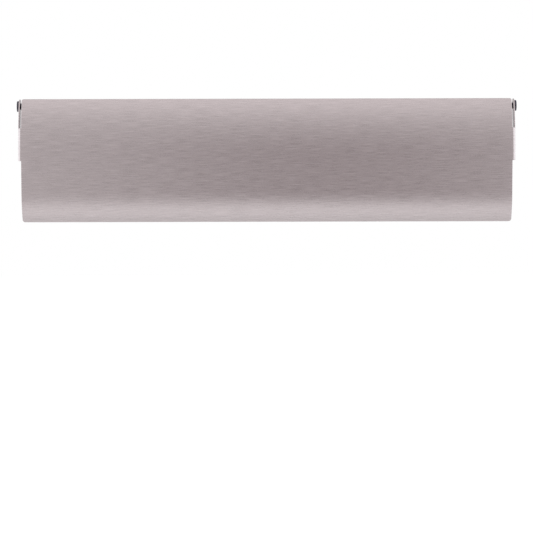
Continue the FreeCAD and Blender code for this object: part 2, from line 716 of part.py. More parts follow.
def brush_bristles():
    """Fibre curtain: gripped in the channel round the wire, hanging to just above the opening's sill,
    flared towards its tips and parted into tufts."""
    body = new_body("brush_bristles")
    sketch = new_sketch(body, "section", "YZ_Plane")
    tips = f"{SLOT_BOTTOM} + fibre_tip_gap"
    grip = "channel_depth / 2 - channel_wall - fibre_clearance"
    top = f"{CHANNEL_TOP} - channel_wall - fibre_clearance"
    draw_outline(sketch, [
        (f"-({CHANNEL_MIDDLE}) - ({grip})", top),
        (f"-({CHANNEL_MIDDLE}) - ({grip})", CHANNEL_BOTTOM),
        (f"-({CHANNEL_MIDDLE}) - ({grip}) - fibre_flare", tips),
        (f"-({CHANNEL_MIDDLE}) + ({grip}) + fibre_flare", tips),
        (f"-({CHANNEL_MIDDLE}) + ({grip})", CHANNEL_BOTTOM),
        (f"-({CHANNEL_MIDDLE}) + ({grip})", top),
    ])
    draw_circle(sketch, f"-({CHANNEL_MIDDLE})", WIRE_HEIGHT, "wire_diameter + 2 * wire_clearance")
    pad(body, sketch, "slot_length - 2 * fibre_end_gap", symmetric=True)

    parting = new_sketch(body, "parting", "XZ_Plane")
    pitch = "(slot_length - 2 * fibre_end_gap) / tuft_count"
    first = f"-(slot_length / 2 - fibre_end_gap) + {pitch}"
    draw_box(parting, f"{first} - tuft_gap / 2", f"{first} + tuft_gap / 2",
             SLOT_BOTTOM, f"{CHANNEL_BOTTOM} - tuft_root")
    repeat_along(body, pocket(body, parting), "tuft_count - 1", f"{pitch} * (tuft_count - 2)")
    return body


def check_and_write(nodes):
    """Stop on a failed object or a broken solid; otherwise write each sub-part under its own name."""
    doc.recompute()
    for item in doc.Objects:
        if "Invalid" in item.State or "Error" in item.State:
            raise RuntimeError(f"{item.Name} failed: {item.State}")
    for node in nodes:
        if node.Shape.isNull() or not node.Shape.isValid() or len(node.Shape.Solids) != 1:
            raise RuntimeError(f"{node.Label} is not one valid solid")
    os.makedirs("parts", exist_ok=True)
    for node in nodes:
        node.Shape.exportStep(f"parts/{node.Label}.step")


fill_sheet()
check_and_write([
    base_frame(),
    flap(),
    pivot_pin("left_pivot_pin", -1),
    pivot_pin("right_pivot_pin", 1),
    brush_channel(),
    brush_core_wire(),
    brush_bristles(),
])
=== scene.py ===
"""Letterbox draught excluder: brushed flap, fibre curtain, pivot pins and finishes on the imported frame."""
import json
import math

import bmesh
import bpy
import numpy as np
from mathutils import Matrix, Vector


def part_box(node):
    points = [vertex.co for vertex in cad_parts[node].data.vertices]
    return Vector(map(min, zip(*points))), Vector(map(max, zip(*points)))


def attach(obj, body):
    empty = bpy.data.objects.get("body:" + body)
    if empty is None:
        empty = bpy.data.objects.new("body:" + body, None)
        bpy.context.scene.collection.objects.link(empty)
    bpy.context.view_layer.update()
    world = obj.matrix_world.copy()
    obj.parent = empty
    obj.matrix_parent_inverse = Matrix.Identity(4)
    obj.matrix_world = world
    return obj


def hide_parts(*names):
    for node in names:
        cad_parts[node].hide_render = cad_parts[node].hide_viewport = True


bl_info = {
    "name": "Letterbox draught excluder",
    "version": (1, 0, 0),
    "blender": (4, 5, 0),
    "location": "3D View > Sidebar > Draught excluder",
    "description": "Dresses the packed draught excluder with its flap, brush, pins, finishes and stage",
    "category": "Object",
}

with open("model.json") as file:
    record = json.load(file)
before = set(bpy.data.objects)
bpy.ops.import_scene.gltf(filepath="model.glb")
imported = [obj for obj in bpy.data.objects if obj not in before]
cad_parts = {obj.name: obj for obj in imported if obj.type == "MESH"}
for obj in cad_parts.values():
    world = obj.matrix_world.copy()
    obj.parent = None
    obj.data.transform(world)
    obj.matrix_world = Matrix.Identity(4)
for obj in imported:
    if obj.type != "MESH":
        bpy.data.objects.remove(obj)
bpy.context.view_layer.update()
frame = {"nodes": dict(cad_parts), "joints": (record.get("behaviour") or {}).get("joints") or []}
PLATE_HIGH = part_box("base_frame")[1]
FLAP_LOW, FLAP_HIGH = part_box("flap")
BRUSH_LOW, BRUSH_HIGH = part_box("brush_bristles")
CHANNEL_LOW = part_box("brush_channel")[0]
PIN_LOW, PIN_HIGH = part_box("right_pivot_pin")
PIVOT = Vector(frame["joints"][0]["pos_m"])

# Sizes that defaults come from, in metres; the rise is above the plate, the drops below the pivot
SHEET = 0.0009
BEND_RADIUS = 0.0012
COVER_RISE = 0.0008
SLIT_DROP = 0.0151
EAR_DROP = 0.0374

# Numbers of points in the grids, along the section of each piece or round it
COVER_COLUMNS = 49
LIP_ROWS = 3
LOWER_ARC_ROWS = 25
FLAT_ROWS = 5
FOLD_ROWS = 17
UPPER_ARC_ROWS = 21
FOLD_COLUMNS = 9
ARM_ROWS = 9
ARM_COLUMNS = 9
STRIP_COLUMNS = 3
EYE_POINTS = 33
EYE_SIDE_POINTS = 5
EYE_RINGS = 5
EDGE_SEGMENTS = 3
DISH_POINTS = 13
RIM_POINTS = 6
PIN_SIDES = 96
FIBRE_RINGS = 3
FIBRE_SIDES = 3

# Where the points lie on a corner's quarter turn, in order up to the edge, and on the ear's corner
CORNER_TURNS = np.array([0, 0.2, 0.4, 0.6, 1]) * math.pi / 2
EAR_CORNER_STEPS = np.linspace(0, 0.6, 3)

# Distance in metres within which points count as one
WELD = 1e-7

# Noise cells per metre along the axes that a finish reads
GRAIN_CELLS = (80.0, 2300.0, 1.0)
HAIRLINE_CELLS = (45.0, 5200.0, 1.0)
CLOUD_CELLS = (9.0, 22.0, 1.0)
MOULD_CELLS = (2600.0, 2600.0, 2600.0)
DRIFT_CELLS = (60.0, 60.0, 60.0)
ROLLING_CELLS = (20.0, 1600.0, 1600.0)

# Range in which most of a noise lies
NOISE_RANGE = (0.25, 0.75)

# How far a finish departs from its mean, and how much the steel's clouds count, as parts of one
STEEL_GLOSS_SWING = 0.035
PLASTIC_GLOSS_SWING = 0.04
PLASTIC_MOTTLE = 0.12
CLOUD_DEPTH = 0.08
CLOUD_SHARE = 0.12

# Least and greatest factor on a finish's colour, and least and greatest roughness
PLATED_TONES = (0.9, 1.08)
FIBRE_TONES = (0.6, 2.2)
PLATED_ROUGHNESS = (0.3, 0.44)
FIBRE_ROUGHNESS = (0.42, 0.6)

# Strength of the plastic's mirrored light
PLASTIC_SPECULAR = 0.3

# Turn of the steel's scatter from the sheet's length, as a part of a full turn
GRAIN_TURN = 0.25

# Strength and depth in metres of the finest relief
HAIRLINE_RELIEF = (0.12, 0.00002)
MOULD_RELIEF = (0.35, 0.00004)

# Sockets of the mix node that take and give colours
MIX_INPUTS = (6, 7)
MIX_OUTPUT = 2


# Property helpers

def length(name, default, description):
    """A length in metres."""
    return bpy.props.FloatProperty(name=name, default=default, description=description, subtype="DISTANCE",
                                   unit="LENGTH", precision=5)


def angle(name, default, description):
    """An angle, given in degrees and kept in radians."""
    return bpy.props.FloatProperty(name=name, default=math.radians(default), description=description,
                                   subtype="ANGLE", unit="ROTATION")


def share(name, default, description):
    """A part of one."""
    return bpy.props.FloatProperty(name=name, default=default, description=description, subtype="FACTOR",
                                   min=0.0, max=1.0)


def colour(name, default, description):
    """A linear colour."""
    return bpy.props.FloatVectorProperty(name=name, default=default, description=description, subtype="COLOR",
                                         size=3, min=0.0, max=1.0)


def place(name, default, description):
    """A place in metres."""
    return bpy.props.FloatVectorProperty(name=name, default=default, description=description,
                                         subtype="TRANSLATION", unit="LENGTH", size=3)


def power(name, default, description):
    """A lamp's power in watts."""
    return bpy.props.FloatProperty(name=name, default=default, description=description, subtype="POWER",
                                   unit="POWER", min=0.0)


class FlapSettings(bpy.types.PropertyGroup):
    """Sizes and finish of the folded flap."""
    sheet: length("Sheet", SHEET, "Thickness of the folded sheet")
    crest_depth: length("Crest depth", 0.0155, "Depth of the cover's inner face at its crest, from the door")
    crest_height: length("Crest height", 0.006, "Height of the crest above the middle of the plate")
    upper_radius: length("Upper radius", 0.1, "Inner radius of the cover above its flat")
    flat_tilt: angle("Flat tilt", 5.0, "Lean of the cover's flat towards the door")
    flat_length: length("Flat length", 0.0198, "Length of the flat below the crest")
    lower_radius: length("Lower radius", 0.038, "Inner radius of the turned lower edge")
    lip_tilt: angle("Lip tilt", 36.0, "Lean of the lip towards the door")
    lip_length: length("Lip length", 0.003, "Straight length of the lip")
    top_height: length("Top height", PLATE_HIGH.z + COVER_RISE, "Height of the cover's inner top edge")
    edge: length("Side edge", FLAP_HIGH.x - BEND_RADIUS - SHEET, "Half length of the cover without its ears")
    top_corner: length("Top corner", 0.0014, "Radius of the cover's upper corners")
    lower_corner: length("Lower corner", 0.002, "Radius of the cover's lower corners")
    bend_radius: length("Bend radius", BEND_RADIUS, "Inner radius of the fold from the cover to an ear")
    slit_gap: length("Slit gap", 0.0004, "Clear width of the slit between an ear and the cover")
    slit_end: length("Slit end", PIVOT.z - SLIT_DROP, "Height at which the slit ends and the fold begins")
    ear_end: length("Ear end", PIVOT.z - EAR_DROP, "Height of the ear's lower end")
    ear_tip: length("Ear tip", 0.0032, "Width of the ear at its lower end")
    ear_corner: length("Ear corner", 0.001, "Radius of the ear's lower rear corner")
    eye_hole: length("Eye hole", 0.00218, "Radius of the hole that turns on the pin")
    eye_reach: length("Eye reach", 0.004, "How far below the pivot the ear's arm passes into its eye")
    edge_break: length("Edge break", 0.00022, "Width of the broken edges of the sheet")
    edge_angle: angle("Edge angle", 50.0, "Least turn between two faces whose edge is broken")
    steel: colour("Steel", (0.58, 0.51, 0.515), "Colour of the brushed steel")
    roughness: share("Roughness", 0.28, "Mean roughness of the brushed steel")
    streaks: share("Streaks", 0.18, "How far the streaks depart from the steel's colour")
    anisotropy: share("Anisotropy", 0.8, "How much more the steel scatters across its grain than along it")


class BrushSettings(bpy.types.PropertyGroup):
    """Sizes and finish of the fibre curtain."""
    tufts: bpy.props.IntProperty(name="Tufts", default=70, min=1, description="Tufts along the curtain")
    fibres: bpy.props.IntProperty(name="Fibres", default=200, min=1, description="Fibres in a tuft")
    seed: bpy.props.IntProperty(name="Seed", default=7, description="Seed of the fibres' scatter")
    root: length("Root", 0.0015, "How far the fibres reach up into the channel")
    thickness: length("Thickness", 0.0003, "Diameter of a fibre at its root")
    taper: share("Taper", 0.25, "Part of its thickness that a fibre loses up to its tip")
    flare: length("Flare", 0.0003, "How far the curtain widens to each side from channel to tips")
    lean: length("Lean", 0.0007, "How far a fibre may lean along the plate")
    gather: share("Gather", 0.1, "Part of its way to the tuft's middle that a fibre leans")
    sway: share("Sway", 0.35, "Sideways bow of a fibre, as a part of the lean")
    ragged: length("Ragged", 0.0011, "Spread of the fibres' lengths")
    pale_tip: length("Pale tip", 0.001, "Length of the pale end of a fibre")
    fibre: colour("Fibre", (0.012, 0.0115, 0.0125), "Colour of the fibres")
    # The tip colour is the fibres' pale cut ends made brighter than their own colour, a painted highlight for
    # the light the tips catch
    tip: colour("Tip", (0.72, 0.56, 0.38), "Colour of the fibres' cut ends")


class PinSettings(bpy.types.PropertyGroup):
    """Sizes and finish of the pivot pins."""
    journal: length("Journal", 0.0021, "Radius of the part that the ear turns on")
    spigot: length("Spigot", 0.0017, "Radius of the part that is pushed into the frame")
    spigot_chamfer: length("Spigot chamfer", 0.0005, "Chamfer of the spigot's end")
    head_thickness: length("Head thickness", 0.0012, "Thickness of the round head")
    head_round: length("Head round", 0.0003, "Rounding of the head's edge")
    dish_radius: length("Dish radius", 0.0024, "Radius of the dish in the head")
    dish_depth: length("Dish depth", 0.0004, "Depth of the dish in the head")
    plastic: colour("Plastic", (0.065, 0.058, 0.078), "Colour of the pins")
    roughness: share("Roughness", 0.4, "Mean roughness of the pins")


class FrameSettings(bpy.types.PropertyGroup):
    """Finishes of the plate, the brush channel and its wire."""
    plastic: colour("Plastic", (0.03, 0.0235, 0.038), "Colour of the moulded plate")
    plastic_roughness: share("Roughness", 0.42, "Mean roughness of the moulded plate")
    plated: colour("Plated", (0.56, 0.56, 0.565), "Colour of the plated channel and wire")


class StageSettings(bpy.types.PropertyGroup):
    """Camera, lamps, floor and surroundings."""
    distance: length("Camera distance", 1.475, "Distance from the camera to the flap")
    picture_width: length("Picture width", 0.3632, "Width of the view at the flap")
    picture_drop: length("Picture drop", 0.0745, "How far the view's middle lies below the holes' middle")
    picture_shift: length("Picture shift", -0.0002, "How far the middle of the view lies to the right")
    roll: angle("Roll", -0.135, "Turn of the camera about its view")
    floor_drop: length("Floor drop", 0.3, "Height of the fixing holes' middle above the floor")
    floor_front: length("Floor front", 0.34, "How far the floor reaches before the door's face")
    floor_reach: length("Floor reach", 4.0, "How far the floor reaches behind and to each side")
    floor: colour("Floor", (0.82, 0.82, 0.82), "Colour of the floor")
    floor_glow: share("Floor glow", 0.5, "Light that the floor gives off to the camera")
    floor_mirrored: share("Floor mirrored", 0.36, "Light that the floor gives off in reflections")
    # Painted shade: within these distances of the door the floor's mirrored glow fades out, a painted shadow
    # under the object that the steel's lip reflects
    floor_painted_shade_start: length("Floor dim start", 0.05, "Distance from the door up to which it mirrors no light")
    floor_painted_shade_end: length("Floor dim end", 0.13, "Distance from the door beyond which it mirrors in full")
    sky: share("Sky", 0.6, "Strength of the even light from all round")
    front_place: place("Front lamp", (-0.35, -1.15, 1.35), "Place of the softbox above the camera")
    front_width: length("Front lamp width", 1.9, "Width of the softbox above the camera")
    front_height: length("Front lamp height", 1.0, "Height of the softbox above the camera")
    front_power: power("Front lamp power", 2.5, "Power of the softbox above the camera")
    side_place: place("Side lamps", (1.3, 0.1, 0.27), "Place of the right softbox; the left one mirrors it")
    side_width: length("Side lamp width", 3.2, "Width of a side softbox")
    side_height: length("Side lamp height", 1.8, "Height of a side softbox")
    side_power: power("Side lamp power", 15.2, "Power of a side softbox")
    side_tint: colour("Side lamp colour", (0.88, 0.97, 1.0), "Colour of the side softboxes' light")
    card: colour("Dark card", (0.29, 0.246, 0.256), "Tone that the steel mirrors straight ahead")
    card_x: share("Card right", 0.03, "Place of the card's middle, to the right, as part of a direction")
    card_z: bpy.props.FloatProperty(name="Card height", default=-0.13, min=-1.0, max=1.0,
                                    description="Place of the card's middle, upwards, as part of a direction")
    card_width: share("Card width", 0.16, "Half width of the card, as part of a direction")
    card_height: share("Card half height", 0.75, "Half height of the card, as part of a direction")
    surround: colour("Surround", (0.74, 0.74, 0.745), "Tone that the steel mirrors elsewhere")


# Mesh helpers

def grid_quads(rows, columns, first, mirrored):
    """Corner numbers of a grid's quads, its points numbered row by row; a mirrored grid turns them round."""
    corner = first + np.arange(rows - 1)[:, None] * columns + np.arange(columns - 1)
    quads = np.stack([corner, corner + 1, corner + columns + 1, corner + columns], axis=-1).reshape(-1, 4)
    return quads[:, ::-1] if mirrored else quads


def weld_patches(name, patches):
    """One smooth mesh from grids of points with a UV map, welded where the grids' borders meet.

    Each patch is (points, uv, mirrored) with points of shape (rows, columns, 3).
    """
    points, uvs, quads, first = [], [], [], 0
    for grid, uv, mirrored in patches:
        rows, columns = grid.shape[:2]
        points.append(grid.reshape(-1, 3))
        uvs.append(uv.reshape(-1, 2))
        quads.append(grid_quads(rows, columns, first, mirrored))
        first += rows * columns
    points, uvs, quads = np.concatenate(points), np.concatenate(uvs), np.concatenate(quads)
    mesh = bpy.data.meshes.new(name)
    mesh.from_pydata(points, [], quads.tolist())
    mesh.uv_layers.new(name="developed").data.foreach_set("uv", uvs[quads.ravel()].astype(np.float32).ravel())
    weld = bmesh.new()
    weld.from_mesh(mesh)
    bmesh.ops.remove_doubles(weld, verts=weld.verts, dist=WELD)
    weld.to_mesh(mesh)
    weld.free()
    mesh.shade_smooth()
    piece = bpy.data.objects.new(name, mesh)
    bpy.context.scene.collection.objects.link(piece)
    return piece


def stand_for(piece, body, slot, *nodes):
    """Let a new piece ride on a body in place of CAD nodes; the slot is not used."""
    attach(piece, body)
    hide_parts(*nodes)


# Material helpers

def new_material(name):
    """A node material with its principled shader."""
    material = bpy.data.materials.new(name)
    material.use_nodes = True
    return material, material.node_tree, material.node_tree.nodes["Principled BSDF"]


def stretched_noise(tree, source, cells, detail, roughness=0.5):
    """Noise with a number of cells per metre along each axis of a coordinate."""
    mapping = tree.nodes.new("ShaderNodeMapping")
    mapping.inputs["Scale"].default_value = cells
    noise = tree.nodes.new("ShaderNodeTexNoise")
    noise.inputs["Scale"].default_value = 1.0
    noise.inputs["Detail"].default_value = detail
    noise.inputs["Roughness"].default_value = roughness
    tree.links.new(source, mapping.inputs["Vector"])
    tree.links.new(mapping.outputs["Vector"], noise.inputs["Vector"])
    return noise.outputs["Fac"]


def ranged(tree, number, start, end, low, high, interpolation="LINEAR"):
    """A number that goes from low to high while another goes from start to end, and stays there beyond."""
    node = tree.nodes.new("ShaderNodeMapRange")
    node.interpolation_type = interpolation
    for socket, given in (("From Min", start), ("From Max", end), ("To Min", low), ("To Max", high)):
        node.inputs[socket].default_value = given
    tree.links.new(number, node.inputs["Value"])
    return node.outputs["Result"]


def spread(tree, noise, low, high):
    """A noise spread over a range of numbers."""
    return ranged(tree, noise, *NOISE_RANGE, low, high)


def split(tree, vector):
    """The X, Y and Z of a vector."""
    node = tree.nodes.new("ShaderNodeSeparateXYZ")
    tree.links.new(vector, node.inputs["Vector"])
    return node.outputs


def maths(tree, operation, first, second=0.0):
    """A number worked out from one or two others; either may be a number or a socket."""
    node = tree.nodes.new("ShaderNodeMath")
    node.operation = operation
    for socket, given in zip(node.inputs, (first, second)):
        if isinstance(given, bpy.types.NodeSocket):
            tree.links.new(given, socket)
        else:
            socket.default_value = given
    return node.outputs["Value"]


def blend_colours(tree, factor, first, second):
    """A colour between two, by a factor; either may be a colour or a socket."""
    mix = tree.nodes.new("ShaderNodeMix")
    mix.data_type = "RGBA"
    tree.links.new(factor, mix.inputs["Factor"])
    for number, given in zip(MIX_INPUTS, (first, second)):
        if isinstance(given, bpy.types.NodeSocket):
            tree.links.new(given, mix.inputs[number])
        else:
            mix.inputs[number].default_value = (*given, 1.0)
    return mix.outputs[MIX_OUTPUT]


def scaled(tone, factor):
    """A colour times a factor, at most white."""
    return tuple(min(part * factor, 1.0) for part in tone)


def relief(tree, shader, height, strength, distance):
    """Fine relief from a height, by its strength and its depth."""
    node = tree.nodes.new("ShaderNodeBump")
    node.inputs["Strength"].default_value = strength
    node.inputs["Distance"].default_value = distance
    tree.links.new(height, node.inputs["Height"])
    tree.links.new(node.outputs["Normal"], shader.inputs["Normal"])


def brushed_steel(settings):
    """Satin steel with its grain along the developed sheet, so the grain runs on round the folds."""
    material, tree, shader = new_material("brushed_steel")
    developed = tree.nodes.new("ShaderNodeUVMap")
    developed.uv_map = "developed"
    grain = stretched_noise(tree, developed.outputs["UV"], GRAIN_CELLS, detail=3.0, roughness=0.6)
    hairline = stretched_noise(tree, developed.outputs["UV"], HAIRLINE_CELLS, detail=2.0, roughness=0.65)
    cloud = stretched_noise(tree, developed.outputs["UV"], CLOUD_CELLS, detail=2.0)
    dark, light = (scaled(settings.steel, 1 + sign * settings.streaks) for sign in (-1, 1))
    streaks = blend_colours(tree, spread(tree, grain, 0.0, 1.0), dark, light)
    tone = blend_colours(tree, spread(tree, cloud, 0.0, CLOUD_SHARE), streaks,
                         scaled(settings.steel, 1 - CLOUD_DEPTH))
    tree.links.new(tone, shader.inputs["Base Color"])
    low, high = settings.roughness - STEEL_GLOSS_SWING, settings.roughness + STEEL_GLOSS_SWING
    tree.links.new(spread(tree, grain, low, high), shader.inputs["Roughness"])
    shader.inputs["Metallic"].default_value = 1.0
    shader.inputs["Anisotropic"].default_value = settings.anisotropy
    shader.inputs["Anisotropic Rotation"].default_value = GRAIN_TURN
    tangent = tree.nodes.new("ShaderNodeTangent")
    tangent.direction_type = "UV_MAP"
    tangent.uv_map = "developed"
    tree.links.new(tangent.outputs["Tangent"], shader.inputs["Tangent"])
    relief(tree, shader, hairline, *HAIRLINE_RELIEF)
    return material


def moulded_plastic(name, tone, roughness):
    """Satin moulded plastic: a fine grain, a slow drift of gloss and a slight mottling."""
    material, tree, shader = new_material(name)
    position = tree.nodes.new("ShaderNodeTexCoord").outputs["Object"]
    grain = stretched_noise(tree, position, MOULD_CELLS, detail=3.0, roughness=0.6)
    drift = stretched_noise(tree, position, DRIFT_CELLS, detail=2.0)
    dark, light = (scaled(tone, 1 + sign * PLASTIC_MOTTLE) for sign in (-1, 1))
    tree.links.new(blend_colours(tree, drift, dark, light), shader.inputs["Base Color"])
    low, high = roughness - PLASTIC_GLOSS_SWING, roughness + PLASTIC_GLOSS_SWING
    tree.links.new(spread(tree, drift, low, high), shader.inputs["Roughness"])
    shader.inputs["Specular IOR Level"].default_value = PLASTIC_SPECULAR
    relief(tree, shader, grain, *MOULD_RELIEF)
    return material


def plated_steel(tone):
    """Plain plated steel with rolling lines along the strip."""
    material, tree, shader = new_material("plated_steel")
    position = tree.nodes.new("ShaderNodeTexCoord").outputs["Object"]
    lines = stretched_noise(tree, position, ROLLING_CELLS, detail=2.0)
    dark, light = (scaled(tone, factor) for factor in PLATED_TONES)
    tree.links.new(blend_colours(tree, lines, dark, light), shader.inputs["Base Color"])
    tree.links.new(spread(tree, lines, *PLATED_ROUGHNESS), shader.inputs["Roughness"])
    shader.inputs["Metallic"].default_value = 1.0
    return material


def black_fibre(settings):
    """Black fibre that varies from strand to strand, with pale cut ends painted brighter than their own
    colour as a highlight.

    The UV map's u is a strand's own number and v is the distance from its tip, both from 0 to 1.
    """
    material, tree, shader = new_material("black_fibre")
    developed = tree.nodes.new("ShaderNodeUVMap")
    developed.uv_map = "developed"
    strand = split(tree, developed.outputs["UV"])
    dark, light = (scaled(settings.fibre, factor) for factor in FIBRE_TONES)
    shaft = blend_colours(tree, strand["X"], dark, light)
    pale_end = settings.pale_tip / (BRUSH_HIGH.z - BRUSH_LOW.z)
    # Painted highlight: the pale ends are brighter than the cut ends' own colour, standing in for the light
    # the tips catch
    pale = ranged(tree, strand["Y"], 0.5 * pale_end, 1.5 * pale_end, 1.0, 0.0, "SMOOTHSTEP")
    tree.links.new(blend_colours(tree, pale, shaft, settings.tip), shader.inputs["Base Color"])
    tree.links.new(spread(tree, strand["X"], *FIBRE_ROUGHNESS), shader.inputs["Roughness"])
    return material


# Flap

class Sheet:
    """The flap's inner face, from which its thickness stands outwards.

    v is the length along the cover's section, 0 at the crest and rising upwards. An upper arc, a flat, a
    lower arc and a lip follow each other downwards, each tangent to the one before.
    """

    def __init__(self, settings):
        self.sizes = settings
        self.centre = np.array([settings.upper_radius - settings.crest_depth, settings.crest_height])
        self.flat_start = -settings.upper_radius * settings.flat_tilt
        self.turn = settings.lip_tilt - settings.flat_tilt
        self.top = settings.upper_radius * self.angle_at(settings.top_height)
        self.bottom = (self.flat_start - settings.flat_length - settings.lower_radius * self.turn
                       - settings.lip_length)

    def angle_at(self, height):
        """Angle about the upper arc's centre of its point at a height."""
        return math.asin((height - self.sizes.crest_height) / self.sizes.upper_radius)

    def normal(self, v):
        """Outward direction (y, z) of the section at v: the slope is v over the radius on each arc."""
        past = np.clip(self.flat_start - self.sizes.flat_length - v, 0, self.sizes.lower_radius * self.turn)
        slope = np.maximum(v, self.flat_start) / self.sizes.upper_radius - past / self.sizes.lower_radius
        return np.stack([-np.cos(slope), np.sin(slope)], axis=-1)

    def section(self, v):
        """Point (y, z) at v: the upper arc's point, then runs along the flat, round the lower arc and down
        the lip, each clipped to its own length."""
        sizes = self.sizes
        arc = self.normal(np.maximum(v, self.flat_start)) * sizes.upper_radius
        flat = np.clip(self.flat_start - v, 0, sizes.flat_length)
        lower = self.normal(np.minimum(v, self.flat_start)) - self.normal(np.float64(self.flat_start))
        lip = np.clip(self.bottom + sizes.lip_length - v, 0, None)
        along_flat, along_lip = (np.array([math.sin(tilt), -math.cos(tilt)])
                                 for tilt in (sizes.flat_tilt, sizes.lip_tilt))
        return (self.centre + arc + flat[..., None] * along_flat + lower * sizes.lower_radius
                + lip[..., None] * along_lip)

    def half_width(self, v):
        """Half length of the cover at v: the side edge, drawn in round the upper and lower corners."""
        width = np.full_like(v, self.sizes.edge)
        corners = ((self.sizes.top_corner, self.top - v), (self.sizes.lower_corner, v - self.bottom))
        for radius, reach in corners:
            inside = np.clip(radius - reach, 0, radius)
            width -= radius - np.sqrt(radius ** 2 - inside ** 2)
        return width

    def rows(self):
        """Values of v for the rows of points, with those of the fold's lower and upper end.

        The steps are even between the section's joints. Round a corner they are even in angle, apart from
        the one next to the edge, which is longer, so that the broken edge has room.
        """
        sizes = self.sizes
        corner = np.sin(CORNER_TURNS)
        low, high = (sizes.upper_radius * self.angle_at(height) for height in (sizes.ear_end, sizes.slit_end))
        lip_end = self.bottom + sizes.lip_length
        flat_end = self.flat_start - sizes.flat_length
        runs = [self.bottom + sizes.lower_corner * (1 - corner[::-1]),
                np.linspace(self.bottom + sizes.lower_corner, lip_end, LIP_ROWS),
                np.linspace(lip_end, flat_end, LOWER_ARC_ROWS),
                np.linspace(flat_end, self.flat_start, FLAT_ROWS),
                low + sizes.ear_corner * EAR_CORNER_STEPS,
                np.linspace(low + sizes.ear_corner, high, FOLD_ROWS),
                np.linspace(high, self.top - sizes.top_corner, UPPER_ARC_ROWS),
                self.top - sizes.top_corner * (1 - corner)]
        return np.unique(np.round(np.concatenate(runs), 9)), low, high


def polar(centre, x, radius, slope):
    """Points at a place along the plate, at a radius and a slope about the cover's centre."""
    x, radius, slope = np.broadcast_arrays(x, radius, slope)
    return np.stack([x, centre[0] - radius * np.cos(slope), centre[1] + radius * np.sin(slope)], axis=-1)


def ear_back(sheet, slope):
    """Radius of the ear's rear edge at a slope: a straight line from the tip, tangent to the eye, with a
    rounded corner at the tip."""
    sizes = sheet.sizes
    pivot = np.array([PIVOT.y, PIVOT.z]) - sheet.centre
    low = sheet.angle_at(sizes.ear_end)
    tip_radius = sizes.upper_radius - sizes.ear_tip
    tip = tip_radius * np.array([-math.cos(low), math.sin(low)])
    eye = sizes.upper_radius - sizes.slit_gap - np.hypot(*pivot)
    down = tip - pivot
    direction = math.atan2(down[1], down[0]) + math.acos(eye / np.hypot(*down))
    out = np.array([math.cos(direction), math.sin(direction)])
    reach = pivot @ out + eye
    ray = np.stack([-np.cos(slope), np.sin(slope)], axis=-1)
    line = reach / (ray @ out)
    along = np.array([-math.sin(low), -math.cos(low)])
    corner = np.linalg.solve(np.array([out, along]), np.array([reach - sizes.ear_corner, -sizes.ear_corner]))
    onto = ray @ corner
    rounded = onto - np.sqrt(np.clip(sizes.ear_corner ** 2 - corner @ corner + onto ** 2, 0, None))
    inside = np.arctan2(corner[1] + sizes.ear_corner * out[1], -corner[0] - sizes.ear_corner * out[0])
    return np.where(slope < inside, rounded, line), pivot, eye, direction


def ear_patches(sheet, rows, low, high, side):
    """The fold and the ear of one end as grids, in the cover's polar coordinates.

    The fold turns by a quarter about the cover's edge. The arm fills each slope between the fold's inner
    radius and the rear edge, a strip beside it reaches out to the slit, and round the hole the eye runs
    along rays from the pivot to the outline.
    """
    sizes = sheet.sizes
    mirrored = side < 0
    fold_rows = rows[(rows > low - WELD) & (rows < high + WELD)] / sizes.upper_radius
    pivot_slope = math.atan2(PIVOT.z - sheet.centre[1], sheet.centre[0] - PIVOT.y)
    chord = pivot_slope - sizes.eye_reach / sizes.upper_radius
    plane = sizes.edge + sizes.bend_radius
    seam, slit = sizes.upper_radius - sizes.bend_radius, sizes.upper_radius - sizes.slit_gap
    unrolled = sizes.edge + sizes.bend_radius * math.pi / 2

    def patch(points, uv):
        return points * np.array([side, 1.0, 1.0]), uv, mirrored

    def flat(points):
        """Grid on the ear's plane with its place in the unrolled sheet."""
        offset = points[..., 1:] - sheet.centre
        radius = np.hypot(offset[..., 0], offset[..., 1])
        slope = np.arctan2(offset[..., 1], -offset[..., 0])
        uv = np.stack([(unrolled + seam - radius) * side, slope * sizes.upper_radius], axis=-1)
        return patch(points, uv)

    quarter = np.linspace(0, math.pi / 2, FOLD_COLUMNS)
    fold = polar(sheet.centre, sizes.edge + sizes.bend_radius * np.sin(quarter),
                 sizes.upper_radius - sizes.bend_radius * (1 - np.cos(quarter)), fold_rows[:, None])
    fold_uv = np.stack(np.broadcast_arrays((sizes.edge + sizes.bend_radius * quarter) * side,
                                           fold_rows[:, None] * sizes.upper_radius), axis=-1)

    upper_rows = np.linspace(high / sizes.upper_radius, chord, ARM_ROWS)
    arm_rows = np.concatenate([fold_rows, upper_rows[1:]])
    back, pivot, eye, direction = ear_back(sheet, arm_rows)
    across = np.linspace(0, 1, ARM_COLUMNS)
    arm = polar(sheet.centre, plane, seam + (back[:, None] - seam) * across, arm_rows[:, None])
    strip = polar(sheet.centre, plane, np.linspace(slit, seam, STRIP_COLUMNS), upper_rows[:, None])

    front = polar(sheet.centre, plane, slit, np.linspace(chord, pivot_slope, EYE_SIDE_POINTS))
    turn = np.linspace(math.pi - pivot_slope, direction, EYE_POINTS)
    over = np.stack([np.full_like(turn, plane), PIVOT.y + eye * np.cos(turn),
                     PIVOT.z + eye * np.sin(turn)], axis=-1)
    rear_steps = np.linspace(0, 1, EYE_SIDE_POINTS)[:, None]
    rear = over[-1] * (1 - rear_steps) + arm[-1, -1] * rear_steps
    outline = np.concatenate([front, over[1:], rear[1:], arm[-1, -2::-1], strip[-1, -2::-1]])[::-1]
    middle = np.array([plane, PIVOT.y, PIVOT.z])
    ray = outline - middle
    hole = middle + ray * (sizes.eye_hole / np.linalg.norm(ray, axis=1))[:, None]
    steps = np.linspace(0, 1, EYE_RINGS)[:, None]
    ring = hole[:, None] + (outline - hole)[:, None] * steps
    return [patch(fold, fold_uv), flat(arm), flat(strip), flat(ring)]


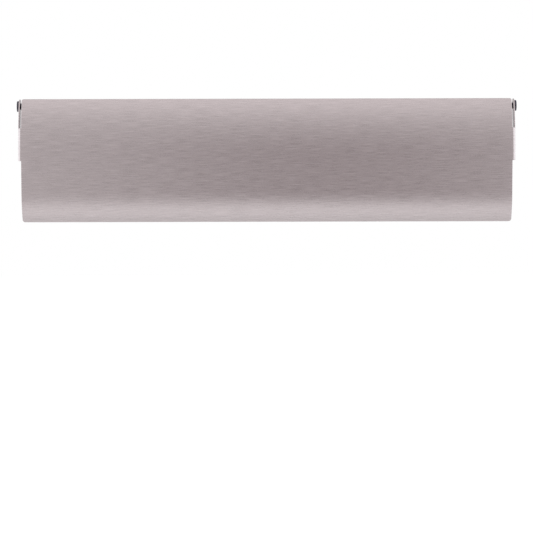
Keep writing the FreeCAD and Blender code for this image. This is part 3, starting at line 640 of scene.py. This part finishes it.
def flap_sheet(settings):
    """Cover, folds and ears as one welded sheet with thickness and broken edges.

    The cover's points are a place along the plate, scaled to the half width at v, and the section at v.
    """
    sheet = Sheet(settings)
    rows, low, high = sheet.rows()
    across = np.linspace(-1, 1, COVER_COLUMNS)
    x = across * sheet.half_width(rows)[:, None]
    section = np.broadcast_to(sheet.section(rows)[:, None], (*x.shape, 2))
    cover = np.concatenate([x[..., None], section], axis=-1)
    cover_uv = np.stack(np.broadcast_arrays(x, rows[:, None]), axis=-1)
    patches = [(cover, cover_uv, False)]
    for side in (1.0, -1.0):
        patches += ear_patches(sheet, rows, low, high, side)
    piece = weld_patches("flap_sheet", patches)
    wall = piece.modifiers.new("sheet", "SOLIDIFY")
    wall.thickness = settings.sheet
    wall.offset = 1.0
    wall.use_even_offset = True
    edges = piece.modifiers.new("broken_edges", "BEVEL")
    edges.width = settings.edge_break
    edges.segments = EDGE_SEGMENTS
    edges.limit_method = "ANGLE"
    edges.angle_limit = settings.edge_angle
    edges.use_clamp_overlap = False
    piece.modifiers.new("even_shading", "WEIGHTED_NORMAL").keep_sharp = True
    return piece


class DRAUGHT_OT_flap(bpy.types.Operator):
    """Fold the brushed flap with its two ears"""
    bl_idname = "draught_excluder.flap"
    bl_label = "Flap"

    def execute(self, context):
        settings = context.scene.draught_flap
        piece = flap_sheet(settings)
        piece.data.materials.append(brushed_steel(settings))
        stand_for(piece, "flap", "flap_steel", "flap")
        return {"FINISHED"}


# Pins

def pin_section(sizes):
    """Section of a pin as (distance from the head's face, radius), from the head's middle to the spigot's
    end: a dish that falls as a cosine, a rounded rim, the head's back, the journal and the spigot."""
    head = (PIN_HIGH.z - PIN_LOW.z) / 2
    total = PIN_HIGH.x - PIN_LOW.x
    collar = PIN_HIGH.x - PLATE_HIGH.x
    radius = np.linspace(0, sizes.dish_radius, DISH_POINTS)
    fall = sizes.dish_depth * (1 + np.cos(math.pi * radius / sizes.dish_radius)) / 2
    dish = np.stack([fall, radius], axis=-1)
    turn = np.linspace(0, math.pi / 2, RIM_POINTS)
    near, far = sizes.head_round * (1 - np.cos(turn)), sizes.head_round * (1 - np.sin(turn))
    rim = np.stack([near, head - far], axis=-1)
    back = np.stack([sizes.head_thickness - far, head - near], axis=-1)
    shank = np.array([(sizes.head_thickness, sizes.journal), (collar, sizes.journal), (collar, sizes.spigot),
                      (total - sizes.spigot_chamfer, sizes.spigot),
                      (total, sizes.spigot - sizes.spigot_chamfer), (total, 0.0)])
    return np.concatenate([dish, rim, back, shank])


def pin_piece(name, side, settings):
    """A pin turned about its axis: each point of the section goes round in a circle."""
    section = pin_section(settings)
    turn = np.linspace(0, 2 * math.pi, PIN_SIDES + 1)
    x = np.broadcast_to(side * (PIN_HIGH.x - section[:, 0])[:, None], (len(section), len(turn)))
    points = np.stack([x, PIVOT.y + section[:, 1, None] * np.cos(turn),
                       PIVOT.z + section[:, 1, None] * np.sin(turn)], axis=-1)
    uv = np.stack(np.broadcast_arrays(turn / (2 * math.pi), section[:, 0, None]), axis=-1)
    piece = weld_patches(name, [(points, uv, side > 0)])
    piece.modifiers.new("even_shading", "WEIGHTED_NORMAL").keep_sharp = True
    return piece


class DRAUGHT_OT_pins(bpy.types.Operator):
    """Turn the two dished pivot pins"""
    bl_idname = "draught_excluder.pins"
    bl_label = "Pivot pins"

    def execute(self, context):
        settings = context.scene.draught_pins
        finish = moulded_plastic("pin_plastic", settings.plastic, settings.roughness)
        for name, node, side in (("left_pin", "left_pivot_pin", -1.0), ("right_pin", "right_pivot_pin", 1.0)):
            piece = pin_piece(name, side, settings)
            piece.data.materials.append(finish)
            stand_for(piece, "frame", "pin_plastic", node)
        return {"FINISHED"}


# Brush

def fibre_paths(settings):
    """Middle lines of all fibres, shape (fibres, rings, 3), with each fibre's own random number.

    Along a fibre, t runs from the channel to the tip. Its place across the curtain widens with t. Along the
    plate it leans with the square of t, drawn a little towards its tuft's middle, and bows with a sine of t.
    """
    scatter = np.random.default_rng(settings.seed)
    count = settings.tufts * settings.fibres
    radius = settings.thickness / 2
    tuft = np.repeat(np.arange(settings.tufts), settings.fibres)
    pitch = (BRUSH_HIGH.x - BRUSH_LOW.x - 2 * radius) / settings.tufts
    middle = BRUSH_LOW.x + radius + (tuft + 0.5) * pitch
    away = (scatter.random(count) - 0.5) * pitch
    t = np.linspace(0, 1, FIBRE_RINGS)
    top = CHANNEL_LOW.z + settings.root
    tip = BRUSH_LOW.z + settings.ragged * scatter.random(count) ** 2
    lean = settings.lean * (scatter.random(count) - 0.5) * 2 - settings.gather * away
    sway = settings.sway * settings.lean * np.sin(2 * math.pi * scatter.random(count))
    depth_middle = (BRUSH_LOW.y + BRUSH_HIGH.y) / 2
    half = (BRUSH_HIGH.y - BRUSH_LOW.y) / 2 - radius - settings.flare
    across = scatter.random(count) * 2 - 1
    x = (middle + away)[:, None] + lean[:, None] * t ** 2 + sway[:, None] * np.sin(math.pi * t)
    x = np.clip(x, BRUSH_LOW.x + radius, BRUSH_HIGH.x - radius)
    y = depth_middle + across[:, None] * (half + settings.flare * t)
    z = top + (tip[:, None] - top) * t
    return np.stack([x, y, z], axis=-1), scatter.random(count)


def fibre_curtain(settings):
    """All fibres as closed strands: on each ring, a few points round the path at the fibre's radius, which
    falls with the cube of the way to the tip."""
    paths, tone = fibre_paths(settings)
    count, rings = paths.shape[:2]
    sides = np.arange(FIBRE_SIDES)
    radius = settings.thickness / 2 * (1 - settings.taper * np.linspace(0, 1, rings) ** 3)
    turn = tone[:, None] * 2 * math.pi + sides * 2 * math.pi / FIBRE_SIDES
    ring = np.stack([np.cos(turn), np.sin(turn), np.zeros_like(turn)], axis=-1)
    points = paths[:, :, None] + ring[:, None] * radius[None, :, None, None]
    first = np.arange(count)[:, None] * rings * FIBRE_SIDES
    base = first[:, None] + np.arange(rings - 1)[:, None] * FIBRE_SIDES
    here, there = base + sides, base + (sides + 1) % FIBRE_SIDES
    quads = np.stack([here, here + FIBRE_SIDES, there + FIBRE_SIDES, there], axis=-1).reshape(-1, 4)
    ends = np.concatenate([first + sides, first + (rings - 1) * FIBRE_SIDES + (-sides) % FIBRE_SIDES])
    mesh = bpy.data.meshes.new("bristle_curtain")
    mesh.from_pydata(points.reshape(-1, 3), [], quads.tolist() + ends.tolist())
    shape = (count, rings, FIBRE_SIDES)
    uv = np.stack([np.broadcast_to(tone[:, None, None], shape),
                   np.broadcast_to(np.linspace(1, 0, rings)[:, None], shape)], axis=-1).reshape(-1, 2)
    corners = np.concatenate([quads.ravel(), ends.ravel()])
    mesh.uv_layers.new(name="developed").data.foreach_set("uv", uv[corners].astype(np.float32).ravel())
    mesh.shade_smooth()
    piece = bpy.data.objects.new("bristle_curtain", mesh)
    bpy.context.scene.collection.objects.link(piece)
    return piece


class DRAUGHT_OT_brush(bpy.types.Operator):
    """Hang the fibre curtain in the letter opening"""
    bl_idname = "draught_excluder.brush"
    bl_label = "Brush"

    def execute(self, context):
        settings = context.scene.draught_brush
        piece = fibre_curtain(settings)
        piece.data.materials.append(black_fibre(settings))
        stand_for(piece, "frame", "bristle_fibre", "brush_bristles")
        return {"FINISHED"}


# Frame

class DRAUGHT_OT_frame(bpy.types.Operator):
    """Finish the moulded plate, the brush channel and its wire"""
    bl_idname = "draught_excluder.frame"
    bl_label = "Plate and channel"

    def execute(self, context):
        settings = context.scene.draught_frame
        plastic = moulded_plastic("plate_plastic", settings.plastic, settings.plastic_roughness)
        plated = plated_steel(settings.plated)
        finishes = (("base_frame", plastic), ("brush_channel", plated), ("brush_core_wire", plated))
        for node, material in finishes:
            mesh = frame["nodes"][node].data
            mesh.materials.clear()
            mesh.materials.append(material)
        return {"FINISHED"}


# Stage

def dark_card(tree, settings):
    """0 in the middle of an oval card in front of the object, rising smoothly to 1 beyond its edge.

    The distance is that of a direction's x and z from the card's middle, over the card's half sizes.
    """
    direction = split(tree, tree.nodes.new("ShaderNodeTexCoord").outputs["Generated"])
    square = []
    for axis, middle, half in (("X", settings.card_x, settings.card_width),
                               ("Z", settings.card_z, settings.card_height)):
        away = maths(tree, "DIVIDE", maths(tree, "SUBTRACT", direction[axis], middle), half)
        square.append(maths(tree, "MULTIPLY", away, away))
    distance = maths(tree, "SQRT", maths(tree, "ADD", *square))
    edge = ranged(tree, distance, 0.0, 1.0, 0.0, 1.0, "SMOOTHSTEP")
    behind = maths(tree, "GREATER_THAN", direction["Y"], 0.0)
    return maths(tree, "MAXIMUM", edge, behind)


def studio_world(settings):
    """Even light all round. The camera sees white, and mirrored rays see a pale surround with a darker card
    round the camera."""
    world = bpy.data.worlds.new("studio")
    bpy.context.scene.world = world
    world.use_nodes = True
    tree = world.node_tree
    path = tree.nodes.new("ShaderNodeLightPath").outputs
    mirrored = blend_colours(tree, dark_card(tree, settings), settings.card, settings.surround)
    bright = maths(tree, "MAXIMUM", path["Is Glossy Ray"], path["Is Transmission Ray"])
    tone = blend_colours(tree, bright, (settings.sky,) * 3, mirrored)
    tone = blend_colours(tree, path["Is Camera Ray"], tone, (1.0, 1.0, 1.0))
    tree.links.new(tone, tree.nodes["Background"].inputs["Color"])


def floor_material(settings):
    """Pale floor that keeps shadows. Seen, it gives off a little light, so that it meets the white
    background. Mirrored, it gives off light only away from the door's face: near the door its glow fades out,
    a painted shade under the object that the steel reflects."""
    material, tree, shader = new_material("pale_floor")
    shader.inputs["Base Color"].default_value = (*settings.floor, 1.0)
    shader.inputs["Roughness"].default_value = 0.9
    shader.inputs["Emission Color"].default_value = (1.0, 1.0, 1.0, 1.0)
    path = tree.nodes.new("ShaderNodeLightPath").outputs
    seen = maths(tree, "MULTIPLY", path["Is Camera Ray"], settings.floor_glow)
    position = split(tree, tree.nodes.new("ShaderNodeTexCoord").outputs["Object"])
    # Painted shade: the mirrored glow fades towards the door's face, standing in for the object's shadow on
    # the floor beneath it
    away = maths(tree, "ABSOLUTE", position["Y"])
    light = ranged(tree, away, settings.floor_painted_shade_start, settings.floor_painted_shade_end, 0.0, settings.floor_mirrored,
                   "SMOOTHSTEP")
    mirrored = maths(tree, "MULTIPLY", path["Is Glossy Ray"], light)
    tree.links.new(maths(tree, "ADD", seen, mirrored), shader.inputs["Emission Strength"])
    return material


def lay_floor(settings):
    """A level floor whose front edge lies a little before the object."""
    reach, near, height = settings.floor_reach, -settings.floor_front, -settings.floor_drop
    mesh = bpy.data.meshes.new("floor")
    mesh.from_pydata([(-reach, near, height), (reach, near, height), (reach, reach, height),
                      (-reach, reach, height)], [], [(0, 1, 2, 3)])
    mesh.materials.append(floor_material(settings))
    floor = bpy.data.objects.new("floor", mesh)
    bpy.context.scene.collection.objects.link(floor)


def hang_softbox(name, spot, size, watts, tint=(1.0, 1.0, 1.0)):
    """A soft lamp at a spot, turned towards the object."""
    lamp = bpy.data.lights.new(name, "AREA")
    lamp.shape = "RECTANGLE"
    lamp.size, lamp.size_y = size
    lamp.energy = watts
    lamp.color = tint
    softbox = bpy.data.objects.new(name, lamp)
    softbox.location = spot
    softbox.rotation_euler = (-Vector(spot)).to_track_quat("-Z", "Y").to_euler()
    bpy.context.scene.collection.objects.link(softbox)


def set_camera(settings):
    """A long lens level with the object, its view shifted down so that the object stands high in it."""
    view = bpy.data.cameras.new("camera")
    view.sensor_width = 36.0
    view.lens = view.sensor_width * settings.distance / settings.picture_width
    view.shift_x = settings.picture_shift / settings.picture_width
    view.shift_y = -settings.picture_drop / settings.picture_width
    view.clip_end = 50.0
    camera = bpy.data.objects.new("camera", view)
    turn = Matrix.Rotation(math.pi / 2, 4, "X") @ Matrix.Rotation(settings.roll, 4, "Z")
    camera.matrix_world = Matrix.Translation((0.0, FLAP_LOW.y - settings.distance, 0.0)) @ turn
    bpy.context.scene.collection.objects.link(camera)
    bpy.context.scene.camera = camera


class DRAUGHT_OT_stage(bpy.types.Operator):
    """Set up the floor, the lamps, the surroundings and the camera"""
    bl_idname = "draught_excluder.stage"
    bl_label = "Stage"

    def execute(self, context):
        settings = context.scene.draught_stage
        context.scene.view_settings.view_transform = "Standard"
        studio_world(settings)
        lay_floor(settings)
        front = (settings.front_width, settings.front_height)
        hang_softbox("front_softbox", settings.front_place, front, settings.front_power)
        x, y, z = settings.side_place
        for name, side in (("left_softbox", -1.0), ("right_softbox", 1.0)):
            hang_softbox(name, (side * x, y, z), (settings.side_width, settings.side_height),
                         settings.side_power, settings.side_tint)
        set_camera(settings)
        return {"FINISHED"}


class DRAUGHT_PT_panel(bpy.types.Panel):
    """Steps that dress the draught excluder, with their settings"""
    bl_idname = "DRAUGHT_PT_panel"
    bl_label = "Draught excluder"
    bl_space_type = "VIEW_3D"
    bl_region_type = "UI"
    bl_category = "Draught excluder"

    def draw(self, context):
        for operator, name, _ in STEPS:
            box = self.layout.box()
            box.operator(operator.bl_idname)
            settings = getattr(context.scene, name)
            for key in settings.__annotations__:
                box.prop(settings, key)


STEPS = (
    (DRAUGHT_OT_flap, "draught_flap", FlapSettings),
    (DRAUGHT_OT_pins, "draught_pins", PinSettings),
    (DRAUGHT_OT_brush, "draught_brush", BrushSettings),
    (DRAUGHT_OT_frame, "draught_frame", FrameSettings),
    (DRAUGHT_OT_stage, "draught_stage", StageSettings),
)


def register():
    """Register each step with its settings, and the panel."""
    for operator, name, group in STEPS:
        bpy.utils.register_class(group)
        setattr(bpy.types.Scene, name, bpy.props.PointerProperty(type=group))
        bpy.utils.register_class(operator)
    bpy.utils.register_class(DRAUGHT_PT_panel)


def unregister():
    """Take away what register added, the other way round."""
    bpy.utils.unregister_class(DRAUGHT_PT_panel)
    for operator, name, group in reversed(STEPS):
        bpy.utils.unregister_class(operator)
        delattr(bpy.types.Scene, name)
        bpy.utils.unregister_class(group)


def main():
    """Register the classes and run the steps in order."""
    register()
    for operator, _, _ in STEPS:
        family, step = operator.bl_idname.split(".")
        getattr(getattr(bpy.ops, family), step)()


if __name__ == "__main__":
    main()
